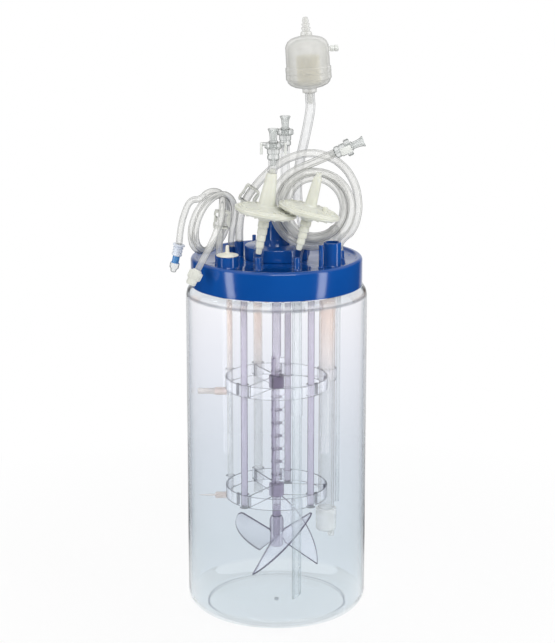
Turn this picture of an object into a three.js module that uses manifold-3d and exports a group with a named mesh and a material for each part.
// Bench bioreactor: a clear moulded vessel closed by a head plate, a stirrer on a finned shaft, a cage of rods
// and rings, dip tubes, gas filters and tubing. Millimetres, +Z up, the front is -Y. The origin is on the
// vessel's axis, in the plane that the vessel stands on.
import * as THREE from "three";
import { mergeVertices } from "three/addons/utils/BufferGeometryUtils.js";
import Module from "manifold-3d";

// ---------- Driving dimensions ----------

const gap = 0.3; // between two pieces that seat on or in each other

// Vessel
const vesselRadius = 90;
const vesselHeight = 334.7; // from the bench to the ledge that carries the head plate
const vesselWall = 2.5;
const baseCorner = 18; // outer radius between floor and wall
const shoulderRise = 14;
const shoulderInset = 5.5;
const neckRise = 22; // neck above the ledge

// Head plate
const ledge = 5; // width of the vessel's ledge outside the head plate
const plateRadius = vesselRadius - ledge;
const skirtWall = 3.3;
const skirtHeight = 28.2;
const rimRound = 3.3;
const rimStep = 2.2; // the deck lies this far under the rim
const deckThickness = 4;

// Drive hub, its rotor and bearings
const hubRadius = 31.3;
const hubHeight = 12.6;
const columnRadius = 11;
const columnHeight = 28; // above the hub
const columnWall = 2;
const rotorClearance = 1.5; // to the column's bore
const rotorHeight = 16;
const bearingHeight = 6;

// Stirrer
const shaftRadius = 4.4;
const coreRadius = 3.2; // between the fins and in the bushes
const finRadius = 8.6;
const finThickness = 2.4;
const finTop = 259;
const finPitch = 13.6;
const notchDepth = 3.6;
const impellerRadius = 42;
const impellerCentre = 72; // height of the blades' middle
const bladePitch = 45; // degrees
const bladeSpan = 94; // degrees of arc between a blade's two tips
const bladeThickness = 2;
const bladeHubRadius = 7.1;

// Cage
const cageClearance = 10.5; // between the vessel's neck and the widest tube on the cage
const ringWall = 1.8;
const ringHeight = 12;
const upperRingTop = 240.5;
const lowerRingTop = 126.8;
const rodInset = 4.5; // of the rods' circle from the rings' outside
const rodRadius = 3.3;
const bossRadius = 7.6;
const bushRadius = 5.4;

// Tubes inside the vessel, each [x, y], outer radius and lower end
const dipRadius = 2.9;
const backDipRadius = 4.5;
const spargerRadius = 8.3;
const harvestRadius = 4.5;
const dipEnd = 100;
const harvestEnd = 26;
const footRadius = 10.6;
const footHeight = 24;
const spargerEnd = 91;

// Tubing
const wideTube = 4.7; // outer radius of the tubes on the filters
const wideBore = 3.4;
const coilTube = 4; // outer radius of the tube in the right coil and of the loop line
const fineTube = 3.2; // outer radius of the tube in the left coil and of the sample line

// ---------- Materials ----------

function finish(color, roughness, opacity = 1) {
  return new THREE.MeshStandardMaterial({ color, roughness, metalness: 0, opacity, transparent: opacity < 1 });
}
const clearPlastic = () => finish(0xe9eef4, 0.08, 0.25);
const smokyPlastic = () => finish(0xb9b0c8, 0.12, 0.55);
const bluePlastic = () => finish(0x12509a, 0.18);
const creamPlastic = () => finish(0xeeeadb, 0.45);
const whitePlastic = () => finish(0xf2f2ee, 0.4);
const tubing = () => finish(0xe6e7ea, 0.15, 0.4);

// ---------- Shaping ----------

const wasm = await Module();
wasm.setup();

// A closed triangle mesh with only its positions, its slivers at the axis left out and its faces out.
function closed(geometry) {
  const bare = geometry.clone();
  bare.deleteAttribute("normal");
  bare.deleteAttribute("uv");
  const merged = mergeVertices(bare, 1e-3);
  const at = merged.attributes.position;
  const index = [];
  let volume = 0;
  const [a, b, c] = [new THREE.Vector3(), new THREE.Vector3(), new THREE.Vector3()];
  for (let i = 0; i < merged.index.count; i += 3) {
    const corners = [0, 1, 2].map((k) => merged.index.getX(i + k));
    if (new Set(corners).size < 3) continue;
    index.push(...corners);
    [a, b, c].forEach((v, k) => v.fromBufferAttribute(at, corners[k]));
    volume += a.dot(b.cross(c)) / 6;
  }
  if (volume < 0) index.reverse();
  merged.setIndex(index);
  return merged;
}

function manifoldOf(geometry) {
  const mesh = closed(geometry);
  const vertProperties = new Float32Array(mesh.attributes.position.array);
  const triVerts = new Uint32Array(mesh.index.array);
  return new wasm.Manifold(new wasm.Mesh({ numProp: 3, vertProperties, triVerts }));
}

// The joined pieces, less what is cut from them.
function shaped(pieces, cuts = []) {
  let body = pieces.map(manifoldOf).reduce((sum, piece) => sum.add(piece));
  for (const cut of cuts) body = body.subtract(manifoldOf(cut));
  const mesh = body.getMesh();
  const geometry = new THREE.BufferGeometry();
  const xyz = new Float32Array(mesh.numVert * 3);
  for (let i = 0; i < mesh.numVert; i++) {
    for (let k = 0; k < 3; k++) xyz[3 * i + k] = mesh.vertProperties[mesh.numProp * i + k];
  }
  geometry.setAttribute("position", new THREE.BufferAttribute(xyz, 3));
  geometry.setIndex([...mesh.triVerts]);
  return geometry;
}

// A body turned about Z from [radius, height] points. A ring's profile closes on itself.
function turned(profile, sides = 32, ring = false) {
  const points = profile.map(([r, z]) => new THREE.Vector2(r, z));
  if (ring) points.push(points[0].clone());
  return closed(new THREE.LatheGeometry(points, sides).rotateX(Math.PI / 2));
}

function rod(radius, low, high, sides = 20) {
  return turned([[0, low], [radius, low], [radius, high], [0, high]], sides);
}

function pipe(outer, inner, low, high, sides = 20) {
  return turned([[inner, low], [outer, low], [outer, high], [inner, high]], sides, true);
}

// A plate of the given outline in X and Y, from z = low up.
function plate(outline, low, thickness) {
  const shape = new THREE.Shape(outline.map(([x, y]) => new THREE.Vector2(x, y)));
  const solid = new THREE.ExtrudeGeometry(shape, { depth: thickness, bevelEnabled: false, curveSegments: 1 });
  return closed(solid.translate(0, 0, low));
}

function box(width, depth, height, x, y, z) {
  return closed(new THREE.BoxGeometry(width, depth, height).translate(x, y, z));
}

function circle(radius, sides) {
  const corner = (i) => {
    const angle = (2 * Math.PI * (i + 0.5)) / sides;
    return new THREE.Vector2(radius * Math.cos(angle), radius * Math.sin(angle));
  };
  return Array.from({ length: sides }, (_, i) => corner(i));
}

function curveOf(points) {
  return new THREE.CatmullRomCurve3(points.map((p) => new THREE.Vector3(...p)), false, "centripetal");
}

// A tube along a smooth curve through the points, solid when it has no bore.
function bent(points, outer, bore = 0, sides = 10, steps = 24) {
  const section = new THREE.Shape(circle(outer, sides));
  if (bore) section.holes.push(new THREE.Path(circle(bore, sides)));
  return closed(new THREE.ExtrudeGeometry(section, { steps, extrudePath: curveOf(points), curveSegments: 1 }));
}

const degrees = THREE.MathUtils.degToRad;
const around = (radius, angle) => [radius * Math.cos(degrees(angle)), radius * Math.sin(degrees(angle))];

const reactor = new THREE.Group();

function place(name, geometry, material, parent = reactor) {
  const mesh = new THREE.Mesh(geometry, material);
  mesh.name = name;
  parent.add(mesh);
  return mesh;
}

// A group at a point, its Z axis turned to the given direction.
function pose(at, direction = [0, 0, 1]) {
  const group = new THREE.Group();
  group.position.set(...at);
  const up = new THREE.Vector3(0, 0, 1);
  group.quaternion.setFromUnitVectors(up, new THREE.Vector3(...direction).normalize());
  reactor.add(group);
  return group;
}

// ---------- Levels that follow from the driving dimensions ----------

const skirtBottom = vesselHeight + gap;
const rimTop = skirtBottom + skirtHeight;
const deckTop = rimTop - rimStep;
const deckUnder = deckTop - deckThickness;
const neckOuter = plateRadius - skirtWall - gap;
const neckInner = neckOuter - vesselWall;
const ringRadius = neckInner - cageClearance - 2 * spargerRadius - gap;
const rodCircle = ringRadius - rodInset;
const neckTop = Math.min(vesselHeight + neckRise, deckUnder - gap);
const hangTop = deckUnder - gap; // upper end of what hangs from the head plate
const hubTop = deckTop + gap + hubHeight;
const columnTop = hubTop + columnHeight;

// ---------- Vessel ----------

// One body, open at the neck. Arcs round the floor's corner and the shoulder.
function vesselBody() {
  const arc = (cx, cz, rx, rz, from, to, count) =>
    Array.from({ length: count + 1 }, (_, i) => {
      const angle = degrees(from + ((to - from) * i) / count);
      return [cx + rx * Math.cos(angle), cz + rz * Math.sin(angle)];
    });
  const inner = vesselRadius - vesselWall;
  const wallTop = vesselHeight - shoulderRise;
  const outside = [
    ...arc(vesselRadius - baseCorner, baseCorner, baseCorner, baseCorner, -90, 0, 4),
    ...arc(vesselRadius - shoulderInset, wallTop, shoulderInset, shoulderRise, 0, 90, 3),
    [neckOuter, vesselHeight],
    [neckOuter, neckTop],
  ];
  const corner = baseCorner - vesselWall;
  const inside = [
    [neckInner, neckTop],
    [neckInner, vesselHeight - vesselWall],
    ...arc(inner - shoulderInset, wallTop, shoulderInset, shoulderRise - vesselWall, 90, 0, 2),
    ...arc(inner - corner, vesselWall + corner, corner, corner, 0, -90, 3),
  ];
  return turned([[0, 0], ...outside, ...inside, [0, vesselWall]], 36);
}
place("vessel", vesselBody(), clearPlastic());

// ---------- Head plate ----------

// Ports stand on the deck: place, outer radius, height over the deck, bore radius (0 is a solid post).
// The outer ports keep their distance from the rim, the inner ones theirs from the hub.
const fromRim = (inset, angle) => around(plateRadius - inset, angle);
const capPort = { at: fromRim(19.6, -136.5), outer: 10.3, height: 10.6, bore: 7.8 };
const loopPortLeft = { at: [-36.9, 6.6], outer: 4.3, height: 15.4, bore: 2.4 };
const slimPost = { at: fromRim(20.6, -48.1), outer: 2.2, height: 22, bore: 0 };
const sensorPort = { at: fromRim(18.8, -35), outer: 8.5, height: 23, bore: 6.4 };
const smallPost = { at: fromRim(9.4, 107.7), outer: 1.9, height: 9, bore: 0 };
const leftBarb = { at: fromRim(23, -106.5), outer: 2.9, height: 12, bore: 1.7 };
const rightBarb = { at: fromRim(22.4, -71.6), outer: 2.9, height: 12, bore: 1.7 };
const pipePort = { at: [8.6, 45], outer: 5, height: 8, bore: 1.7 };
const exhaustPort = { at: [28, 36], outer: 5.4, height: 8, bore: 3 };
const coilPortRight = { at: fromRim(22.4, 16.7), outer: 4.8, height: 8, bore: 2.2 };
const loopPortRight = { at: fromRim(22.9, -2.8), outer: 4.8, height: 8, bore: 2.2 };
const coilPortLeft = { at: [-45.2, 17], outer: 4, height: 8, bore: 1.8 };
const samplePort = { at: fromRim(23.3, -155.1), outer: 4, height: 8, bore: 1.8 };
const ports = [
  capPort, loopPortLeft, slimPost, sensorPort, smallPost, leftBarb, rightBarb, pipePort, exhaustPort,
  coilPortRight, loopPortRight, coilPortLeft, samplePort,
];
const topOf = (port) => [...port.at, deckTop + port.height + gap];

const bearingSeatDepth = 7;
const bearingSeatHeight = 8; // boss round the bearing, over the deck
const bearingRadius = columnRadius - columnWall;

function headPlate() {
  const inner = plateRadius - skirtWall;
  const bossTop = deckTop + bearingSeatHeight;
  const round = [0, 30, 60, 90].map((angle) => [
    plateRadius - rimRound + rimRound * Math.cos(degrees(angle)),
    rimTop - rimRound + rimRound * Math.sin(degrees(angle)),
  ]);
  const body = turned([
    [shaftRadius + 1, deckUnder],
    [inner, deckUnder],
    [inner, skirtBottom],
    [plateRadius, skirtBottom],
    ...round,
    [plateRadius - rimRound - 3.2, deckTop],
    [bearingRadius + 4, deckTop],
    [bearingRadius + 4, bossTop],
    [bearingRadius + gap, bossTop],
    [bearingRadius + gap, bossTop - bearingSeatDepth],
    [shaftRadius + 1, bossTop - bearingSeatDepth],
  ], 36, true);
  const sides = (port) => (port.outer > 6 ? 18 : 10);
  const stand = (port) => rod(port.outer, deckUnder + 1, deckTop + port.height, sides(port));
  const hole = (port) => rod(port.bore, deckUnder - 1, deckTop + port.height + 1, sides(port));
  const moved = (shape, port) => shape.translate(port.at[0], port.at[1], 0);
  const dimple = rod(1.2, deckTop - 1.5, deckTop + 1, 10).translate(...fromRim(11.8, 9.6), 0);
  return shaped(
    [body, ...ports.map((port) => moved(stand(port), port))],
    [dimple, ...ports.filter((port) => port.bore).map((port) => moved(hole(port), port))],
  );
}
place("head_plate", headPlate(), bluePlastic());

// Cream cap: a disc that lies on the front left port, with a plug below and a stem above.
const capGroup = pose(topOf(capPort));
const capPlug = capPort.bore - gap;
const capDisc = capPort.outer + 0.4;
place("port_cap", turned([
  [0, -6], [capPlug - 0.6, -6], [capPlug, -5], [capPlug, 0], [capDisc, 0], [capDisc, 1.2], [4, 2.6],
  [1.9, 3.4], [1.5, 10], [0, 10.6],
], 18), creamPlastic(), capGroup);

// ---------- Drive housing, rotor and bearings ----------

const hubWall = 3;
const columnBore = columnRadius - columnWall;
const cavityTop = columnTop - columnWall;
place("drive_housing", turned([
  [0, cavityTop], [columnBore + gap, cavityTop], [columnBore + gap, hubTop - hubWall],
  [hubRadius - hubWall, hubTop - hubWall], [hubRadius - hubWall, deckTop + gap], [hubRadius, deckTop + gap],
  [hubRadius, hubTop - 1], [hubRadius - 1, hubTop], [columnRadius + 2.4, hubTop],
  [columnRadius + 1.6, hubTop + 3], [columnRadius, hubTop + 6], [columnRadius, columnTop - 1.6],
  [columnRadius - 1.6, columnTop], [0, columnTop],
], 24), bluePlastic());

const shaftNeck = 3; // radius of the shaft in its bearings
const lowerBearingBase = deckTop + bearingSeatHeight - bearingSeatDepth + gap;
const upperBearingBase = cavityTop - gap - bearingHeight;
const rotorRadius = columnBore - rotorClearance;
const rotorBase = lowerBearingBase + bearingHeight + 2;
const race = (base) => pipe(bearingRadius, shaftNeck + gap, base, base + bearingHeight, 16);
place("bearing_lower", race(lowerBearingBase), whitePlastic());
place("bearing_upper", race(upperBearingBase), whitePlastic());
place("rotor_magnet", pipe(rotorRadius, shaftNeck + gap, rotorBase, rotorBase + rotorHeight, 16),
  finish(0x4b4d52, 0.4));

// ---------- Stirrer ----------

const collarTop = 104.5;
const collarHeight = 11.8;
const bladeHubTop = collarTop - collarHeight - gap;
const bladeHubHeight = 32;
const shaftEnd = bladeHubTop - bladeHubHeight;
const bushRunning = 1.5; // free length of the core on each side of a bush
const bushGap = [
  [upperRingTop - ringHeight - bushRunning, upperRingTop + bushRunning],
  [lowerRingTop - ringHeight - bushRunning, lowerRingTop + bushRunning],
];

// A fin's outline from the axis out, with a notch at each of the given heights.
function fin(low, high, notches, angle) {
  const outline = [[0, low], [finRadius, low]];
  for (const z of notches.filter((level) => level > low + notchDepth && level < high - notchDepth)) {
    outline.push([finRadius, z - notchDepth], [finRadius - notchDepth, z - 0.5]);
    outline.push([finRadius - notchDepth, z + 0.5], [finRadius, z + notchDepth]);
  }
  outline.push([finRadius, high], [0, high]);
  return plate(outline, -finThickness / 2, finThickness).rotateX(Math.PI / 2).rotateZ(degrees(angle));
}

function stirrerShaft() {
  const [upper, lower] = bushGap;
  const collarStart = collarTop + gap;
  const spine = turned([
    [0, shaftEnd], [coreRadius, shaftEnd], [coreRadius, collarStart], [shaftRadius, collarStart],
    [shaftRadius, lower[0]], [coreRadius, lower[0]], [coreRadius, finTop], [shaftRadius, finTop + 2],
    [shaftRadius, lowerBearingBase - 1], [shaftNeck, lowerBearingBase - 1], [shaftNeck, upperBearingBase + 4],
    [0, upperBearingBase + 4],
  ], 16);
  const pieces = [spine];
  for (const [low, high] of [[lower[1], upper[0]], [upper[1], finTop]]) {
    const levels = [];
    for (let z = finTop; z > low; z -= finPitch) if (z < high) levels.push(z);
    const every = levels.reverse();
    const second = every.filter((_, i) => i % 2 === 0);
    pieces.push(fin(low, high, every, 0), fin(low, high, second, 120), fin(low, high, second, 240));
    for (const z of every) pieces.push(rod(finRadius - notchDepth + 0.9, z - 0.45, z + 0.45, 10));
  }
  return shaped(pieces);
}
place("stirrer_shaft", stirrerShaft(), smokyPlastic());

const stopCollar = pipe(shaftRadius, coreRadius + gap, collarTop - collarHeight, collarTop, 16);
place("stop_collar", stopCollar, smokyPlastic());

// Three flat blades, pitched, their outer edge on the impeller's circle.
function impellerBlade(angle) {
  const pitch = degrees(bladePitch);
  const half = degrees(bladeSpan / 2);
  const tip = (impellerRadius * Math.sin(half)) / Math.cos(pitch);
  const edge = [-1, -0.75, -0.5, -0.25, 0, 0.25, 0.5, 0.75, 0.93].map((share) => {
    const along = share * tip;
    return [Math.sqrt(impellerRadius ** 2 - (along * Math.cos(pitch)) ** 2), along];
  });
  const rootHalf = 11;
  const topCorner = [impellerRadius * Math.cos(half) - 1.6, tip * 0.985];
  const blade = plate([[coreRadius + 2, -rootHalf], ...edge, topCorner, [coreRadius + 2, rootHalf]],
    -bladeThickness / 2, bladeThickness);
  // The blade's Y runs up the pitch: tangent to the circle and up.
  return blade.rotateX(pitch).rotateZ(degrees(angle)).translate(0, 0, impellerCentre);
}

function impeller() {
  const bore = coreRadius + gap;
  const hub = turned([
    [bore, bladeHubTop], [bore, shaftEnd],
    [bladeHubRadius - 0.6, shaftEnd], [bladeHubRadius - 0.6, shaftEnd + 14],
    [bladeHubRadius, shaftEnd + 14.6], [bladeHubRadius, bladeHubTop - 4], [bladeHubRadius - 1.4, bladeHubTop],
  ], 16, true);
  return shaped([hub, ...[282, 42, 162].map(impellerBlade)]);
}
place("impeller", impeller(), smokyPlastic());

// ---------- Cage: two rings, three rods, two bushes ----------

const armAngles = [236.7, 356.7, 116.7];
const rodAngles = { rod_front_left: 227.4, rod_front_right: 316.2, rod_back: 75.8 };
const ribAngles = [218, 324.5, 84.5];
const dipTubes = {
  dip_tube_left: { at: around(ringRadius + dipRadius + gap, 150.6), outer: dipRadius },
  dip_tube_back: { at: around(ringRadius + backDipRadius + gap, 110), outer: backDipRadius },
  sparger_tube: { at: around(ringRadius + spargerRadius + gap, 30.8), outer: spargerRadius },
};
const socketWall = 1.6;

function cageRing(top, closedSockets) {
  const low = top - ringHeight;
  const inner = ringRadius - ringWall;
  const band = pipe(ringRadius, inner, low, top, 36);
  const boss = pipe(bossRadius, bushRadius + gap, low, top, 16);
  const middle = low + ringHeight / 2;
  const armBox = (reach) => box(reach, 2, ringHeight, (inner + bossRadius) / 2, 0, middle);
  const arm = (angle) => armBox(inner - bossRadius + 1.6).rotateZ(degrees(angle));
  const rib = (angle) => box(5, 1.8, ringHeight, inner - 2, 0, middle).rotateZ(degrees(angle));
  const pieces = [band, boss, ...armAngles.map(arm), ...ribAngles.map(rib)];
  const cuts = [];
  const floor = closedSockets ? low - 2 : low;
  for (const angle of Object.values(rodAngles)) {
    const [x, y] = around(rodCircle, angle);
    pieces.push(rod(rodRadius + socketWall, floor, top, 10).translate(x, y, 0));
    cuts.push(rod(rodRadius + gap, low - (closedSockets ? 0 : 1), top + 1, 10).translate(x, y, 0));
  }
  for (const { at, outer } of Object.values(dipTubes)) {
    pieces.push(rod(outer + socketWall + gap, low, top, 12).translate(...at, 0));
    cuts.push(rod(outer + gap, low - 1, top + 1, 12).translate(...at, 0));
  }
  return shaped(pieces, cuts);
}
place("ring_upper", cageRing(upperRingTop, false), clearPlastic());
place("ring_lower", cageRing(lowerRingTop, true), clearPlastic());

const bush = (top) => pipe(bushRadius, coreRadius + gap, top - ringHeight, top, 16);
place("bush_upper", bush(upperRingTop), smokyPlastic());
place("bush_lower", bush(lowerRingTop), smokyPlastic());

for (const [name, angle] of Object.entries(rodAngles)) {
  const [x, y] = around(rodCircle, angle);
  const cageRod = rod(rodRadius, lowerRingTop - ringHeight + gap, hangTop, 10).translate(x, y, 0);
  place(name, cageRod, smokyPlastic());
}

// ---------- Dip tubes, their side branches, the sparger and the harvest tube ----------

const tubeBore = { dip_tube_left: 1.9, dip_tube_back: 3.2, sparger_tube: 6.3 };
for (const [name, { at, outer }] of Object.entries(dipTubes)) {
  const low = name === "sparger_tube" ? spargerEnd : dipEnd;
  place(name, pipe(outer, tubeBore[name], low, hangTop, 12).translate(...at, 0), creamPlastic());
}

// A sleeve that starts on the left dip tube and points outwards to the vessel's wall, and what sits in it.
const wallClear = 2;
function sideBranch(sleeveName, innerName, height, innerRadius, sleeveRadius, bore) {
  const [x, y] = dipTubes.dip_tube_left.at;
  const start = -x + dipRadius + gap;
  const wallAt = Math.sqrt((vesselRadius - vesselWall) ** 2 - y ** 2) - wallClear;
  const reach = wallAt - start;
  const group = pose([-start, y, height], [-1, 0, 0]);
  place(sleeveName, pipe(sleeveRadius, innerRadius + gap, 0, 12.6, 14), creamPlastic(), group);
  const inside = bore ? pipe(innerRadius, bore, 1, reach, 14) : rod(innerRadius, 1, reach, 10);
  place(innerName, inside, creamPlastic(), group);
}
sideBranch("side_sleeve_upper", "side_tube_upper", 217, 3.1, 4, 2);
sideBranch("side_sleeve_lower", "side_pin_lower", 105.5, 1.3, 3.4, 0);

// Sparger foot: a cup under the wide tube, with a nozzle below its outer side.
function spargerFoot() {
  const top = spargerEnd - gap;
  const bottom = top - footHeight;
  const cup = turned([
    [0, bottom], [footRadius - 3, bottom], [footRadius - 0.8, bottom + 1.6], [footRadius, bottom + 4],
    [footRadius, top], [footRadius - 2, top], [footRadius - 2, top - 6], [0, top - 6],
  ], 18);
  const nozzle = rod(3.5, bottom - 6.4, bottom + 2, 12).translate(5.2, 0, 0);
  const hole = rod(2.3, bottom - 8, top - 5, 12).translate(5.2, 0, 0);
  return shaped([cup, nozzle], [hole]).translate(...dipTubes.sparger_tube.at, 0);
}
place("sparger_foot", spargerFoot(), whitePlastic());

const gasRadius = 2.2;
const [spargerX, spargerY] = dipTubes.sparger_tube.at;
const gasOffset = spargerRadius + socketWall + gasRadius + 3 * gap;
const gasAngle = -32;
const [gasX, gasY] = around(gasOffset, gasAngle);
const gasEnd = 100;
place("gas_line", pipe(gasRadius, 1.4, gasEnd, hangTop, 12).translate(spargerX + gasX, spargerY + gasY, 0),
  clearPlastic());

// Harvest tube: hangs under the right barb and ends in a slanted tip.
function harvestTube() {
  const body = pipe(harvestRadius, 3, harvestEnd, hangTop, 14);
  const slant = box(30, 30, 20, 0, 0, 0).rotateY(degrees(38)).translate(9.5, 0, harvestEnd - 4.5);
  const other = box(30, 30, 20, 0, 0, 0).rotateY(degrees(-52)).translate(-9.6, 0, harvestEnd - 5);
  return shaped([body], [slant, other]).translate(...rightBarb.at, 0);
}
place("harvest_tube", harvestTube(), clearPlastic());

// Clips: a sleeve round the harvest tube with a web back to the ring.
function tubeClip(ringTop) {
  const [x, y] = rightBarb.at;
  const radial = Math.hypot(x, y);
  const inner = ringRadius + gap;
  const high = ringTop + 2.5;
  const low = high - 27;
  const webLow = ringTop - ringHeight;
  const sleeve = rod(harvestRadius + 1.2, low, high, 12).translate(radial, 0, 0);
  const web = box(radial - inner, 2, ringHeight, (radial + inner) / 2, 0, webLow + ringHeight / 2);
  const bore = rod(harvestRadius + gap, low - 1, high + 1, 12).translate(radial, 0, 0);
  const angle = Math.atan2(y, x);
  return shaped([sleeve, web], [bore]).rotateZ(angle);
}
place("tube_clip_upper", tubeClip(upperRingTop), clearPlastic());
place("tube_clip_lower", tubeClip(lowerRingTop), clearPlastic());

// ---------- Disc filters on their tubes ----------

const discRadius = 30;
const discRim = 3.4; // thickness at the rim
const membraneThickness = 0.8;
const stemRadius = 2.9;
const stemReach = 6; // of the barb inside the tube below
const neckReach = 4; // of the neck inside the tube above

// Welded housing round a flat chamber, its lower barb stepped, its upper cone a plain neck.
function filterHousing(lower, upper, coneRadius, upperEnd) {
  const half = discRim / 2;
  const chamber = membraneThickness / 2 + gap;
  const step = (lower - 9) / 4;
  const barb = [0, 1, 2, 3].flatMap((i) => {
    const low = -lower + i * step;
    const radius = 3.9 + i * 0.45;
    return [[radius, low], [radius, low + step - 0.6]];
  });
  return turned([
    [1.6, -lower - stemReach], [stemRadius - 0.4, -lower - stemReach], [stemRadius, -lower - stemReach + 1.5],
    [stemRadius, -lower], ...barb, [6, -8], [12, -5], [discRadius - 3, -half - 0.4], [discRadius, -half],
    [discRadius, half], [discRadius - 3, half + 0.4], [13, 4], [coneRadius, 6.5],
    [upperEnd + 0.6, upper - 1], [upperEnd, upper], [stemRadius, upper], [stemRadius, upper + neckReach],
    [1.6, upper + neckReach], [1.6, 3.4], [discRadius - 6, chamber], [discRadius - 6, -chamber],
    [1.6, -3.4],
  ], 18, true);
}

const membrane = () => rod(discRadius - 6 - 2 * gap, -membraneThickness / 2, membraneThickness / 2, 18);

// The filter leans on a line that starts just over its port's barb, the disc's middle at rise along that line.
function discFilter(name, port, tilt, sizes) {
  const foot = [...port.at, deckTop + port.height + 2];
  const direction = [Math.sin(degrees(tilt)), 0, Math.cos(degrees(tilt))];
  const onAxis = (distance) => foot.map((value, i) => value + direction[i] * (sizes.rise + distance));
  const group = pose(onAxis(0), direction);
  const housing = filterHousing(sizes.lower, sizes.upper, sizes.cone, sizes.end);
  place(`${name}_housing`, housing, creamPlastic(), group);
  place(`${name}_membrane`, membrane(), whitePlastic(), group);
  return onAxis;
}

// The tube from a barb on the deck, bent to meet the filter's line.
function filterTube(name, port, onAxis, lower) {
  const upright = [gap, port.height / 2, port.height].map((z) => [...port.at, deckTop + z]);
  const points = [...upright, onAxis(-lower - stemReach), onAxis(-lower - 3), onAxis(-lower - gap)];
  place(name, bent(points, wideTube, wideBore, 10, 6), tubing());
}

const leftFilter = { rise: 43.8, lower: 36, upper: 37.5, cone: 8.2, end: 4.4 };
const leftFilterAxis = discFilter("filter_left", leftBarb, 9.5, leftFilter);
filterTube("filter_left_tube", leftBarb, leftFilterAxis, leftFilter.lower);

const rightFilter = { rise: 45, lower: 33, upper: 34, cone: 5.8, end: 3.4 };
const rightFilterAxis = discFilter("filter_right", rightBarb, 14.6, rightFilter);
filterTube("filter_right_tube", rightBarb, rightFilterAxis, rightFilter.lower);

// ---------- Luer fittings: a clear body and a locking ring with its tab ----------

const collarLength = 10.6;
const ringThickness = 5.5;
const luerSleeve = 6; // barb inside the tube

function luerBody(stem) {
  const ringBase = collarLength + gap;
  const ringEnd = ringBase + ringThickness + gap;
  return turned([
    [1.5, -luerSleeve], [stem - 0.5, -luerSleeve], [stem, -luerSleeve + 2], [stem, 0], [5.2, 0], [5.8, 1],
    [5.8, collarLength], [3.5, collarLength], [3.5, ringEnd], [4.6, ringEnd], [4.6, ringEnd + 1.2],
    [3.5, ringEnd + 1.6], [3.7, ringEnd + 8], [5.3, ringEnd + 12], [5.3, ringEnd + 13], [4, ringEnd + 13],
    [2.2, ringEnd + 8], [1.5, 0],
  ], 12, true);
}

function luerRing(tabAngle) {
  const base = collarLength + gap;
  const ring = pipe(8.1, 3.8, base, base + ringThickness, 14);
  const tab = box(5, 7, 11, -10.2, 0, base + ringThickness - 5.5);
  const bridge = box(4, 7, 3, -8.6, 0, base + ringThickness - 1.5);
  return shaped([ring, tab, bridge]).rotateZ(degrees(tabAngle));
}

function luerFitting(name, at, direction, stem, tabAngle) {
  const group = pose(at, direction);
  place(`${name}_body`, luerBody(stem), clearPlastic(), group);
  place(`${name}_ring`, luerRing(tabAngle), clearPlastic(), group);
}

// On the left filter's neck: a short tube that bends upright, then the fitting.
const luerRise = 12.3;
const neckEnd = leftFilterAxis(leftFilter.upper + gap);
const leftLuerAt = [neckEnd[0] + 1.2, neckEnd[1], neckEnd[2] + luerRise];
const belowLuer = [leftLuerAt[0], leftLuerAt[1], leftLuerAt[2] - luerSleeve];
const neckTube = [neckEnd, leftFilterAxis(leftFilter.upper + neckReach), belowLuer,
  [leftLuerAt[0], leftLuerAt[1], leftLuerAt[2] - gap]];
place("filter_left_stem", bent(neckTube, wideTube, wideBore, 10, 5), tubing());
luerFitting("luer_left", leftLuerAt, [0, 0, 1], 2.7, 180);

// On the addition pipe, a straight clear pipe on a port behind the hub.
const pipeBore = 3;
const pipeTop = deckTop + 105;
const pipeStand = topOf(pipePort);
place("addition_pipe", pipe(4.4, pipeBore, pipeStand[2], pipeTop - gap, 16)
  .translate(pipeStand[0], pipeStand[1], 0), tubing());
luerFitting("luer_back", [pipeStand[0], pipeStand[1], pipeTop], [0, 0, 1], pipeBore - gap, 0);

// ---------- Exhaust: a stiff riser and the capsule filter that it carries ----------

const capsuleTilt = -3.7;
const capsuleAt = [32.4, 8, deckTop + 162.4];
const capsuleLine = [Math.sin(degrees(capsuleTilt)), 0, Math.cos(degrees(capsuleTilt))];
const capsuleRadius = 21.2;
const weldRadius = 22.3;
const bodyTop = 45.5;
const ventHeight = 41.6;

function capsuleHousing() {
  const outside = [
    [3, 0], [3, 0.1], [7, 0.2], [7, 4], [14, 5.6], [20, 9.5], [weldRadius, 13.5], [weldRadius, 25],
    [capsuleRadius, 26], [capsuleRadius, bodyTop], [19, 50], [12, 54], [5.4, 55.4], [5.4, 59], [3.4, 59.6],
    [4.4, 61.5], [4.4, 63], [3, 64], [3.4, 66.5], [2.5, 73.4], [1.6, 73.4],
  ];
  const inside = [[1.6, 52], [11, 51], [17, 47], [19, 43], [19, 12], [12, 7.6], [1.6, 6]];
  const body = turned([[1.6, -11], [3, -11], ...outside, ...inside], 16, true);
  const stub = rod(1.9, 18.6, 28, 10).rotateY(Math.PI / 2).translate(0, 0, ventHeight);
  const bore = rod(0.9, 18, 29, 8).rotateY(Math.PI / 2).translate(0, 0, ventHeight);
  return shaped([body, stub], [bore]);
}
const capsule = pose(capsuleAt, capsuleLine);
place("capsule_housing", capsuleHousing(), finish(0xf2f2ef, 0.35, 0.75), capsule);
place("capsule_cartridge", pipe(11.5, 4, 7.9, 36, 16), finish(0xf0ead2, 0.8), capsule);

// Vent cap: turns on the stub at the capsule's right.
const vent = new THREE.Group();
vent.position.set(0, 0, ventHeight);
vent.rotation.y = Math.PI / 2;
capsule.add(vent);
place("vent_cap", turned([
  [0, 28.6], [1.9 + gap, 28.6], [1.9 + gap, 22.6], [3, 22.6], [3, 25.4], [2.5, 26], [3.2, 29], [2.8, 30.4],
  [0, 30.4],
], 14), whitePlastic(), vent);

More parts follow.
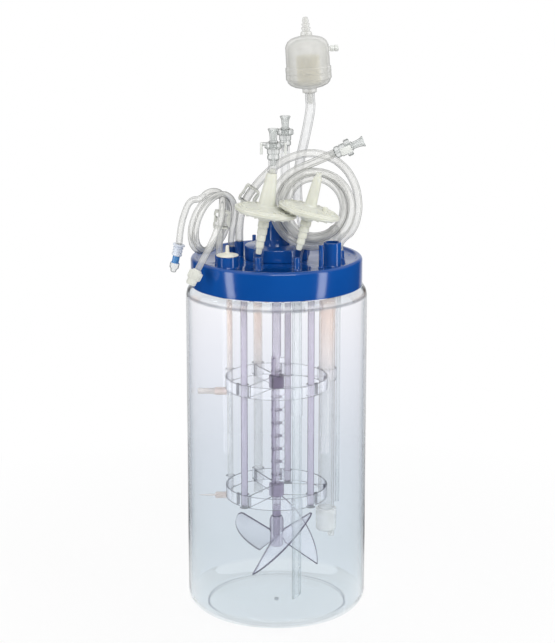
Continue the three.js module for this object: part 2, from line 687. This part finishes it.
const riserEnd = (distance) => capsuleAt.map((value, i) => value + capsuleLine[i] * distance);
const riserBends = [
  [28, 36, 14], [26.8, 35.8, 23], [24, 34.8, 37], [21.5, 33, 51], [21, 29, 71], [23.5, 22, 94], [28, 15, 117],
  [31.6, 10, 136],
].map(([x, y, z]) => [x, y, deckTop + z]);
const riserPoints = [topOf(exhaustPort), ...riserBends, riserEnd(-13), riserEnd(-6), riserEnd(-gap)];
place("exhaust_riser", bent(riserPoints, wideTube, wideBore, 10, 13), tubing());

// ---------- Right coil: its ring, the lead from its port and the tail to its Luer fitting ----------

const coilRightAt = [36, -20.8, 415.6];
const coilRightOuter = 42;
const coilRightInner = 26.5;
const coilRightHalf = 8; // half its depth
const coilRight = pose(coilRightAt, [0, -1, 0]);
const rightTurns = pipe(coilRightOuter, coilRightInner, -coilRightHalf, coilRightHalf, 32);
place("coil_right", rightTurns, tubing(), coilRight);

const leadEnd = coilRightAt[1] + coilRightHalf + gap;
const leadRightPoints = [
  topOf(coilPortRight), [60, 18, 377], [59.6, 13, 386], [58.4, 6, 391], [57.4, -2, 391.6],
  [57, leadEnd + 4, 391.4], [57, leadEnd, 391.4],
];
place("coil_right_lead", bent(leadRightPoints, coilTube, 0, 10, 8), tubing());

const tailY = coilRightAt[1] - coilRightHalf - gap - coilTube;
const rightLuerAt = [56.5, tailY, 470.4];
const rightLuerLine = [0.922, 0, 0.3875];
const tailMeets = rightLuerAt.map((value, i) => value - rightLuerLine[i] * gap);
const tailRightPoints = [
  [17.6, tailY, 454.1], [28, tailY, 458.4], [38, tailY, 462.6], [48, tailY, 466.8], tailMeets,
];
place("coil_right_tail", bent(tailRightPoints, coilTube, 2.9, 10, 4), tubing());
luerFitting("luer_right", rightLuerAt, rightLuerLine, 2.5, 90);

// ---------- Loop line: an arch of the same tube from the left port to the right one ----------

// A group on a tube's centreline at a share of its length, its Z axis along the tube.
function poseAlong(points, share) {
  const curve = curveOf(points);
  return pose(curve.getPointAt(share).toArray(), curve.getTangentAt(share).toArray());
}

// Pinch clamp: one bent strip, open at its catch, with the tube through both of its ends along Z.
// The jaw is the holes' radius, clear of the bent tube.
function pinchClamp(jaw) {
  const outline = [
    [-7.2, -8.6], [-7.2, 8.6], [4.6, 8.6], [8.4, 6.6], [9.4, -6], [7.8, -6.4], [jaw + 0.8, -2], [jaw + 0.8, 2],
    [6.6, 5.8], [4, 7], [-5.7, 7], [-5.7, 2.2], [-jaw, 1], [-jaw, -1], [-5.7, -2.2], [-5.7, -7], [6.4, -7],
    [7.4, -8.6],
  ];
  const half = jaw + 1.7; // half the strip's width
  const strip = plate(outline, -half, 2 * half).rotateX(Math.PI / 2);
  return shaped([strip], [rod(jaw, -10, 10, 12)]);
}

const loopPoints = [
  topOf(loopPortLeft), [-36.9, 6.8, 388], [-35.2, 7, 403], [-30.5, 7, 417], [-21, 7, 431], [-10, 6, 443.5],
  [3, 5, 454], [18, 4, 461.5], [34, 3, 464.5], [50, 2, 461.5], [64, 1, 453], [74.5, 0, 439], [79.8, -1, 421],
  [79.4, -2, 403], [73.5, -3, 388], [66, -3, 381], [62, -3, 374.5], topOf(loopPortRight),
];
place("loop_line", bent(loopPoints, coilTube, 0, 9, 26), tubing());
const loopClampShare = 0.19;
place("loop_clamp", pinchClamp(coilTube + 1), whitePlastic(), poseAlong(loopPoints, loopClampShare));

// ---------- Left coil: its ring, the lead from its port and the tail to the check valve ----------

const coilLeftAt = [-64.2, -6.4, 397.4];
const coilLeftOuter = 32.5;
const coilLeftInner = 26;
const coilLeftHalf = 9.75;
const coilLeftLean = degrees(11);
const coilLeftFacing = [0.819, -0.574];
const coilLeftLine = [
  coilLeftFacing[0] * Math.cos(coilLeftLean),
  coilLeftFacing[1] * Math.cos(coilLeftLean),
  -Math.sin(coilLeftLean),
];
const coilLeft = pose(coilLeftAt, coilLeftLine);
place("coil_left", pipe(coilLeftOuter, coilLeftInner, -coilLeftHalf, coilLeftHalf, 28), tubing(), coilLeft);

const leadLeftBase = topOf(coilPortLeft);
const leadLeftRise = 8.6; // up to the ring's underside
const leadLeftTop = [leadLeftBase[0], leadLeftBase[1], leadLeftBase[2] + leadLeftRise];
place("coil_left_lead", bent([leadLeftBase, leadLeftTop], fineTube, 0, 8, 2), tubing());

coilLeft.updateMatrixWorld(true);
const behindCoil = (x, y, away) =>
  coilLeft.localToWorld(new THREE.Vector3(x, y, -coilLeftHalf - away)).toArray();
const tailLeftSpot = [-28.2, 7.6]; // on the ring's face, in the ring's own axes
const valveAt = [-95.3, -20, 378.5];
const valveLine = [-0.218, 0, -0.976];
const beforeValve = (distance) => valveAt.map((value, i) => value - valveLine[i] * distance);
const tailLeftPoints = [
  behindCoil(...tailLeftSpot, gap), behindCoil(...tailLeftSpot, 3), [-84.5, -9.4, 420.5], [-90, -12.5, 409],
  [-92.8, -17, 396], beforeValve(6), beforeValve(gap),
];
place("coil_left_tail", bent(tailLeftPoints, fineTube, 0, 8, 12), tubing());

// Check valve in line at the tube's end: a flange, a ribbed collar, the core and a clear end.
place("check_valve", turned([
  [0, 0], [6, 0], [6, 1.6], [4.2, 1.8], [4.2, 3], [5, 3.2], [5, 4.6], [4.4, 4.8], [4.4, 6], [5, 6.2], [5, 7.6],
  [4.4, 7.8], [4.4, 9], [5, 9.2], [5, 11.4], [3.5, 12], [3.5, 18.6], [4.6, 19.2], [4.6, 24], [3.2, 25.4],
  [2.2, 28.4], [0, 28.4],
], 12), finish(0x6f93bf, 0.3), pose(valveAt, valveLine));

// ---------- Sample line, its clamp and its Luer cap ----------

const samplePoints = [
  topOf(samplePort), [-55.7, -25.9, 377], [-54.9, -25.7, 387], [-54.1, -25.6, 397], [-53.3, -25.6, 406],
  [-52.7, -25.8, 413.5], [-52.3, -29.6, 422.4], [-52, -39, 426.4], [-52, -48.5, 422.4], [-52.5, -52, 415.3],
  [-54.9, -54.1, 405.4], [-58.7, -55.8, 394.8], [-63.5, -57.3, 384.2], [-69, -58.7, 373.6], [-75.5, -60.5, 361.5],
];
place("sample_line", bent(samplePoints, fineTube, 0, 8, 20), tubing());
const sampleClampShare = 0.245;
place("coil_clamp", pinchClamp(fineTube + 0.7), whitePlastic(), poseAlong(samplePoints, sampleClampShare));

const luerCapLine = [-0.463, -0.174, -0.869];
const luerCapAt = samplePoints[samplePoints.length - 1].map((value, i) => value + luerCapLine[i] * gap);
place("luer_cap", turned([
  [0, 0], [4.2, 0], [4.8, 1.4], [6.7, 2], [6.7, 9.4], [5, 10.4], [5, 14.6], [4.2, 16], [0, 16],
], 16), whitePlastic(), pose(luerCapAt, luerCapLine));

export default reactor;
